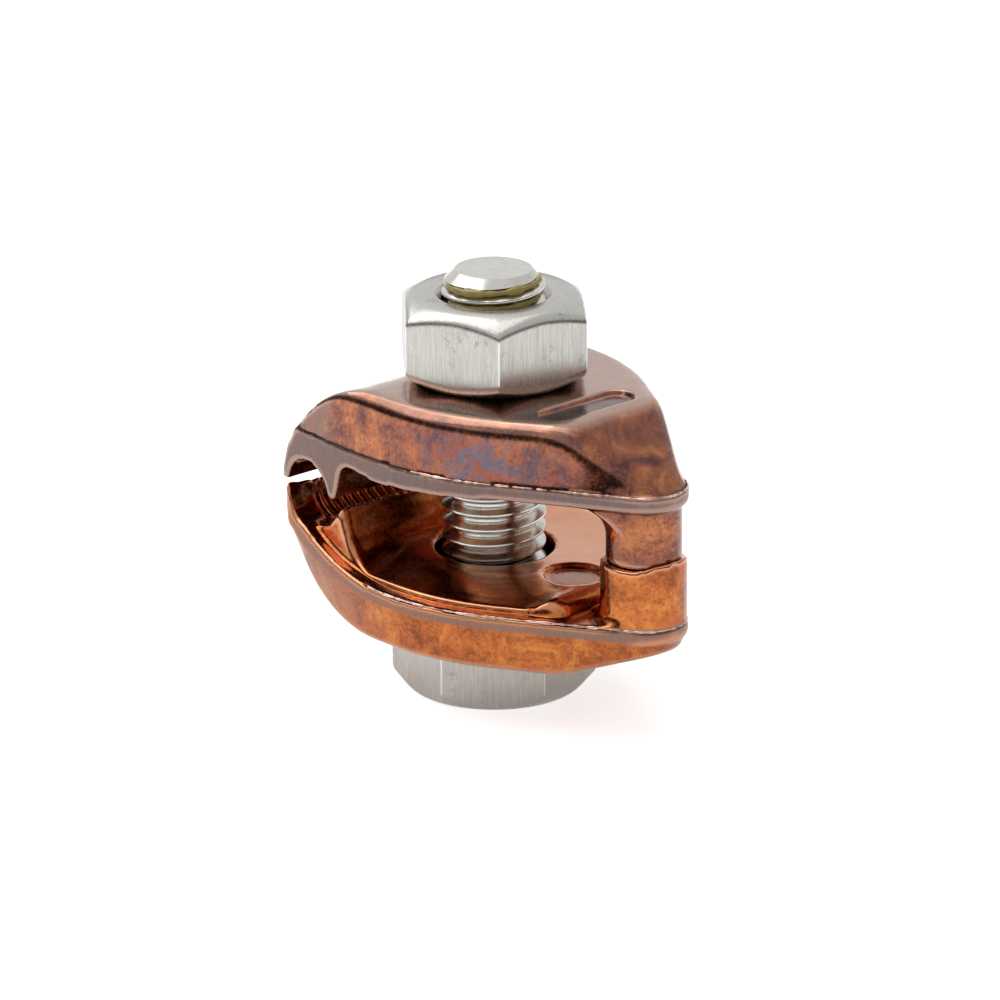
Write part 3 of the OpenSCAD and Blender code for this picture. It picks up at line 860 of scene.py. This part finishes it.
def thread_tree():
    """Tree that rolls a grid into a right-hand thread between two heights."""
    tree, size = new_tree("thread_by_rule", {
        "Crest Radius": "Float", "Depth": "Float", "Pitch": "Float", "Start": "Float", "End": "Float",
        "Start Radius": "Float", "End Radius": "Float", "Turns": "Int", "Columns": "Int",
        "Phase": "Float", "Material": "Material"})
    rows = add(tree, "ShaderNodeMath", [size["Turns"], rows_per_turn], operation="MULTIPLY")
    row_points = add(tree, "ShaderNodeMath", [rows, 1.0], operation="ADD")
    column_points = add(tree, "ShaderNodeMath", [size["Columns"], 1.0], operation="ADD")
    grid = add(tree, "GeometryNodeMeshGrid", {
        "Size X": 1.0, "Size Y": 1.0, "Vertices X": column_points, "Vertices Y": row_points})
    spot = add(tree, "GeometryNodeInputPosition")
    across = add(tree, "ShaderNodeSeparateXYZ", [spot])
    turn = add(tree, "ShaderNodeMath", [across, 0.5], operation="ADD")
    along = add(tree, "ShaderNodeMath", [across.node.outputs["Y"], 0.5], operation="ADD")
    along = add(tree, "ShaderNodeMath", [along, size["Turns"]], operation="MULTIPLY")

    # Height above the start, one turn early, held between the two ends
    climb = add(tree, "ShaderNodeMath", [along, turn], operation="ADD")
    climb = add(tree, "ShaderNodeMath", [climb, 1.0], operation="SUBTRACT")
    height = add(tree, "ShaderNodeMath", [climb, size["Pitch"], size["Start"]], operation="MULTIPLY_ADD")
    height = add(tree, "ShaderNodeClamp", [height, size["Start"], size["End"]])

    # Section of the thread: flat crest, straight flanks and a narrow flat root
    phase = add(tree, "ShaderNodeMath", [along, size["Phase"]], operation="ADD")
    wave = add(tree, "ShaderNodeMath", [phase, 0.5], operation="PINGPONG")
    valley = add(tree, "ShaderNodeMapRange", [wave, crest_half, root_from, 0.0, 1.0])
    cut = add(tree, "ShaderNodeMath", [valley, size["Depth"]], operation="MULTIPLY")
    radius = add(tree, "ShaderNodeMath", [size["Crest Radius"], cut], operation="SUBTRACT")

    # Both ends run out at 45 degrees to their own radius
    for end_r, upper, lower in (("Start Radius", height, size["Start"]), ("End Radius", size["End"], height)):
        run = add(tree, "ShaderNodeMath", [upper, lower], operation="SUBTRACT")
        limit = add(tree, "ShaderNodeMath", [size[end_r], run], operation="ADD")
        radius = add(tree, "ShaderNodeMath", [radius, limit], operation="MINIMUM")
    angle = add(tree, "ShaderNodeMath", [turn, 2 * math.pi], operation="MULTIPLY")
    plan = []
    for kind in ("COSINE", "SINE"):
        share = add(tree, "ShaderNodeMath", [angle], operation=kind)
        plan.append(add(tree, "ShaderNodeMath", [share, radius], operation="MULTIPLY"))
    rolled = add(tree, "ShaderNodeCombineXYZ", [*plan, height])
    made = add(tree, "GeometryNodeSetPosition", {"Geometry": grid, "Position": rolled})
    made = add(tree, "GeometryNodeMergeByDistance", {"Geometry": made, "Distance": weld})
    return close_tree(tree, made, size["Material"])


threads = thread_tree()
print("thread tree:", len(threads.nodes), "nodes")

# %% [markdown]
# Hexagons. A head or nut is a hexagonal bar whose corners are turned off to a cone, which leaves the curved
# edges on its flats. Rings of points are laid on that rule and joined, and a small curve eases the edges.

# %% Hexagon shells
corner_round = 0.25
corner_steps = 6
flat_steps = 12
edge_ease = 0.75
edge_share = 0.8
edge_steps = 5
rub_zone = (-0.02, -0.004)
crisp_angle = math.radians(35)
half_side = math.radians(30)
cone = math.tan(half_side)


def hex_points(turn_deg):
    """Points round a hexagon with slightly rounded corners, from its first corner on."""
    points = []
    corner_far = (hex_across / 2 - corner_round) / math.cos(half_side)
    for corner in range(6):
        middle = math.radians(turn_deg + 60 * corner)
        centre = Vector((corner_far * math.cos(middle), corner_far * math.sin(middle)))
        for i in range(corner_steps + 1):
            a = middle + math.radians(60 * i / corner_steps - 30)
            points.append(centre + corner_round * Vector((math.cos(a), math.sin(a))))
        start = points[-1]
        along = middle + half_side + math.pi / 2
        side = Vector((math.cos(along), math.sin(along)))
        length = 2 * (corner_far * math.sin(half_side))
        points.extend(start + side * length * i / flat_steps for i in range(1, flat_steps))
    return points


def cone_edge(points, face_r, face_z, up):
    """Rings from a hexagon's end face over its cone and eased edge to its flats. up is 1 for the top."""
    rings = [[(*(p.normalized() * face_r), face_z) for p in points]]
    for i in range(edge_steps + 1):
        t = i / edge_steps
        ring = []
        for p in points:
            fall = max(0.0, p.length - face_r) * cone
            reach = min(edge_ease, edge_share * (p.length - face_r))
            on_cone = Vector((p.length - reach * math.cos(half_side), reach * math.sin(half_side)))
            on_flat = Vector((p.length, -reach))
            spot = (1 - t) ** 2 * on_cone + 2 * t * (1 - t) * Vector((p.length, 0)) + t * t * on_flat
            side = p.normalized() * spot.x
            ring.append((side.x, side.y, face_z + up * (spot.y - fall)))
        rings.append(ring)
    return rings


def hex_rings(turn_deg, chamfer, low_z, high_z, high_cone):
    """Rings of a hexagon's side from its low face, which has a cone, to its high face."""
    face_r = hex_across / 2 / math.cos(half_side) - chamfer / cone
    points = hex_points(turn_deg)
    rings = cone_edge(points, face_r, low_z, -1)
    if high_cone:
        return rings + list(reversed(cone_edge(points, face_r, high_z, 1)))
    return rings + [[(p.x, p.y, high_z) for p in points]]


def circle_ring(like, radius, z):
    """Ring at one radius and height, in line with another ring."""
    return [(radius * x / math.hypot(x, y), radius * y / math.hypot(x, y), z) for x, y, _ in like]


def shell(name, rings, capped):
    """Mesh through a stack of rings, with flat caps if asked."""
    built = bmesh.new()
    layers = [[built.verts.new([c * MM for c in p]) for p in ring] for ring in rings]
    for low, high in zip(layers, layers[1:]):
        for i in range(len(low)):
            j = (i + 1) % len(low)
            built.faces.new((low[i], low[j], high[j], high[i]))
    if capped:
        built.faces.new(list(reversed(layers[0])))
        built.faces.new(layers[-1])
    mesh = bpy.data.meshes.new(name)
    built.to_mesh(mesh)
    built.free()
    return mesh


def rub_corners(mesh):
    """Marks the corners of a hexagon for a painted highlight."""
    place = array_of(mesh.vertices, "co", 3) / MM
    radius = np.hypot(place[:, 0], place[:, 1])
    set_mask(mesh, "rubbed", 0.8 * step(radius - radius.max(), *rub_zone))


def finish_steel(piece, thread, node):
    """Joins a thread to a hexagon and puts both in a node's place, with crisp edges."""
    both = [piece, thread]
    with bpy.context.temp_override(active_object=piece, object=piece, selected_objects=both,
                                   selected_editable_objects=both):
        bpy.ops.object.join()
    piece.name = node + "_steel"
    piece.data.shade_smooth()
    piece.data.set_sharp_from_angle(angle=crisp_angle)
    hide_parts(node)
    finish_piece(piece, node)


print("points round a hexagon:", len(hex_points(0)))

# %% [markdown]
# The bolt is a cold-headed hexagon on a rolled thread that runs to a 45-degree point. The head stands on
# its chamfered face. The thread starts inside the head, so no gap shows between them.

# %% Bolt
head_chamfer = 0.95
head_turn = -13.6
thread_start = seat_z - 0.2
thread_depth = 0.9
thread_phase = 0.83
point_h = 1.3
spare_turns = 3
columns = 72

head_rings = hex_rings(head_turn, head_chamfer, 0, seat_z, high_cone=False)
bolt_piece = new_object("bolt_head", shell("bolt_head", head_rings, capped=True))
bolt_piece.data.materials.append(drawn_steel)
rub_corners(bolt_piece.data)
shank = grow("bolt_shank", threads, {
    "Crest Radius": thread_r * MM, "Depth": thread_depth * MM, "Pitch": thread_pitch * MM,
    "Start": thread_start * MM, "End": bolt_tip_z * MM,
    "Start Radius": (thread_r - thread_depth) * MM, "End Radius": (thread_r - point_h) * MM,
    "Turns": int((bolt_tip_z - seat_z) / thread_pitch) + spare_turns, "Columns": columns,
    "Phase": thread_phase, "Material": rolled_steel})
closed = bmesh.new()
closed.from_mesh(shank.data)
bmesh.ops.holes_fill(closed, edges=[e for e in closed.edges if e.is_boundary], sides=0)
bmesh.ops.recalc_face_normals(closed, faces=closed.faces)
closed.to_mesh(shank.data)
closed.free()
finish_steel(bolt_piece, shank, "bolt")

# %% [markdown]
# The nut is chamfered on both faces, with a countersunk bore. Its thread is drawn just outside the bolt's
# crests, so that the bolt can turn in it without cutting through it, and it shows when the nut is backed off.

# %% Nut
nut_chamfer = 1.25
nut_turn = 20.4
bore_r = 4.98
sink = 0.5
bore_depth = 0.5

sides = hex_rings(nut_turn, nut_chamfer, top_z, top_z + nut_h, high_cone=True)
mouth_low = [circle_ring(sides[0], bore_r, top_z + sink), circle_ring(sides[0], bore_r + sink, top_z)]
mouth_high = [circle_ring(sides[0], bore_r + sink, top_z + nut_h),
              circle_ring(sides[0], bore_r, top_z + nut_h - sink)]
nut_piece = new_object("nut_steel", shell("nut_steel", mouth_low + sides + mouth_high, capped=False))
nut_piece.data.materials.append(drawn_steel)
rub_corners(nut_piece.data)
bore = grow("nut_bore", threads, {
    "Crest Radius": bore_r * MM, "Depth": -bore_depth * MM, "Pitch": thread_pitch * MM,
    "Start": (top_z + sink) * MM, "End": (top_z + nut_h - sink) * MM,
    "Start Radius": bore_r * MM, "End Radius": bore_r * MM,
    "Turns": int(nut_h / thread_pitch) + spare_turns, "Columns": columns,
    "Phase": 0.0, "Material": rolled_steel})
bore.data.flip_normals()
finish_steel(nut_piece, bore, "nut")

# %% [markdown]
# Grease stays in the thread roots that the nut has passed over. It is the same bead by rule, swept along the
# helix of the root just above the nut, thin enough to stay below the crests.

# %% Grease in the thread
root_r = 4.33
grease_bead = 0.42
grease_turns = 22
grease_from = -110
grease_to = 410
grease_step = 4
root_shift = 0.5 - thread_phase
grease_path = []
for degrees in range(grease_from, grease_to, grease_step):
    angle = math.radians(degrees)
    climb = (grease_turns + root_shift + degrees / 360) * thread_pitch
    grease_path.append((root_r * math.cos(angle), root_r * math.sin(angle), thread_start + climb))
grease_piece = grow("thread_grease", beads, {
    "Thickness": grease_bead * MM, "Least": 0.6, "Lump": 0.7, "Seed": 9.0,
    "Material": grease}, path_mesh("grease_path", grease_path))
grease_piece.data.shade_smooth()
finish_piece(grease_piece, "bolt")

# %% [markdown]
# The studio: a white floor, a white backdrop and soft boxes. The floor and backdrop show white to the camera
# and in reflections, and light the clamp at a plain level. In reflections the floor's glow is weaker near the
# clamp, a painted shadow. A pale ceiling shows in reflections too. Between it and the floor the room is dark,
# which draws the dark lines along the rounded edges of the metal.

# %% Studio
def softbox(name, bearing_deg, height_deg, distance, width, length, level):
    """Rectangular lamp aimed at the clamp. Bearing is from the camera to its right; level is its radiance."""
    bearing = view_bearing + math.radians(bearing_deg)
    away = toward(bearing, math.radians(height_deg))
    lamp = bpy.data.objects.new(name, bpy.data.lights.new(name, "AREA"))
    lamp.data.shape = "RECTANGLE"
    lamp.data.size = width
    lamp.data.size_y = length
    lamp.data.energy = level * math.pi * width * length
    facing = away.to_track_quat("Z", "Y").to_matrix().to_4x4()
    lamp.matrix_world = Matrix.Translation(aim + away * distance) @ facing
    lamp.visible_camera = False
    scene.collection.objects.link(lamp)


softbox("softbox_left", bearing_deg=-110, height_deg=55, distance=0.7, width=0.9, length=0.6, level=1.5)
softbox("softbox_top", bearing_deg=180, height_deg=80, distance=0.7, width=0.5, length=0.5, level=0.9)

floor_half = 1.5
floor_drop = 0.02 * MM
floor_reach = (0.02, 0.3)
floor_mirrored = (0.3, 0.8)
floor_seen = 0.7
floor_mesh = bpy.data.meshes.new("floor")
corners = [(-1, -1), (1, -1), (1, 1), (-1, 1)]
floor_mesh.from_pydata([(x * floor_half, y * floor_half, 0) for x, y in corners], [], [range(4)])
floor = new_object("floor", floor_mesh)
floor.location.z = -floor_drop
white, paper = new_material("white_paper")
rays = add(paper, "ShaderNodeLightPath").node.outputs
seen = rays["Is Camera Ray"]
for kind in ("Is Glossy Ray", "Is Transmission Ray"):
    seen = add(paper, "ShaderNodeMath", [seen, rays[kind]], operation="MAXIMUM")
matte = add(paper, "ShaderNodeBsdfDiffuse", {"Color": colour("#F2F2F2")})
place = add(paper, "ShaderNodeTexCoord", out="Object")
from_clamp = add(paper, "ShaderNodeVectorMath", [place], out="Value", operation="LENGTH")
# In reflections the floor glows less near the clamp: a painted shadow round it
mirrored = add(paper, "ShaderNodeMapRange", [from_clamp, *floor_reach, *floor_mirrored])
lift = add(paper, "ShaderNodeMix", {0: rays["Is Camera Ray"], 2: mirrored, 3: floor_seen}, data_type="FLOAT")
glow = add(paper, "ShaderNodeEmission", {"Color": colour("#FFFFFF"), "Strength": lift})
lit = add(paper, "ShaderNodeAddShader", [matte, glow])
sheet = add(paper, "ShaderNodeMixShader", [seen, matte, lit])
add(paper, "ShaderNodeOutputMaterial", {"Surface": sheet})
floor.data.materials.append(white)

backdrop_rise = math.radians(32)
backdrop_cone = (0.55, 0.85)
backdrop_level = 0.85
ceiling_from = (0.26, 0.44)
ceiling_level = 0.72
dark_room = 0.08
soft_fill = 0.45
world = bpy.data.worlds.new("studio")
scene.world = world
world.use_nodes = True
sky = world.node_tree
sky.nodes.clear()
sky_rays = add(sky, "ShaderNodeLightPath").node.outputs
direction = add(sky, "ShaderNodeTexCoord", out="Generated")
backdrop = toward(view_bearing + math.pi, backdrop_rise)
facing = add(sky, "ShaderNodeVectorMath", {0: direction, 1: backdrop}, out="Value", operation="DOT_PRODUCT")
screen = add(sky, "ShaderNodeMapRange", [facing, *backdrop_cone, dark_room, backdrop_level], **smooth)
height = add(sky, "ShaderNodeSeparateXYZ", [direction], out="Z")
ceiling = add(sky, "ShaderNodeMapRange", [height, *ceiling_from, dark_room, ceiling_level], **smooth)
room = add(sky, "ShaderNodeMath", [screen, ceiling], operation="MAXIMUM")
unseen = add(sky, "ShaderNodeMix", {0: sky_rays["Is Glossy Ray"], 2: soft_fill, 3: room}, data_type="FLOAT")
open_sky = add(sky, "ShaderNodeMath", [
    sky_rays["Is Camera Ray"], sky_rays["Is Transmission Ray"]], operation="MAXIMUM")
strength = add(sky, "ShaderNodeMix", {0: open_sky, 2: unseen, 3: 1.0}, data_type="FLOAT")
shine = add(sky, "ShaderNodeBackground", {"Color": colour("#FFFFFF"), "Strength": strength})
add(sky, "ShaderNodeOutputWorld", {"Surface": shine})
scene.view_settings.view_transform = "Standard"
print("studio set")
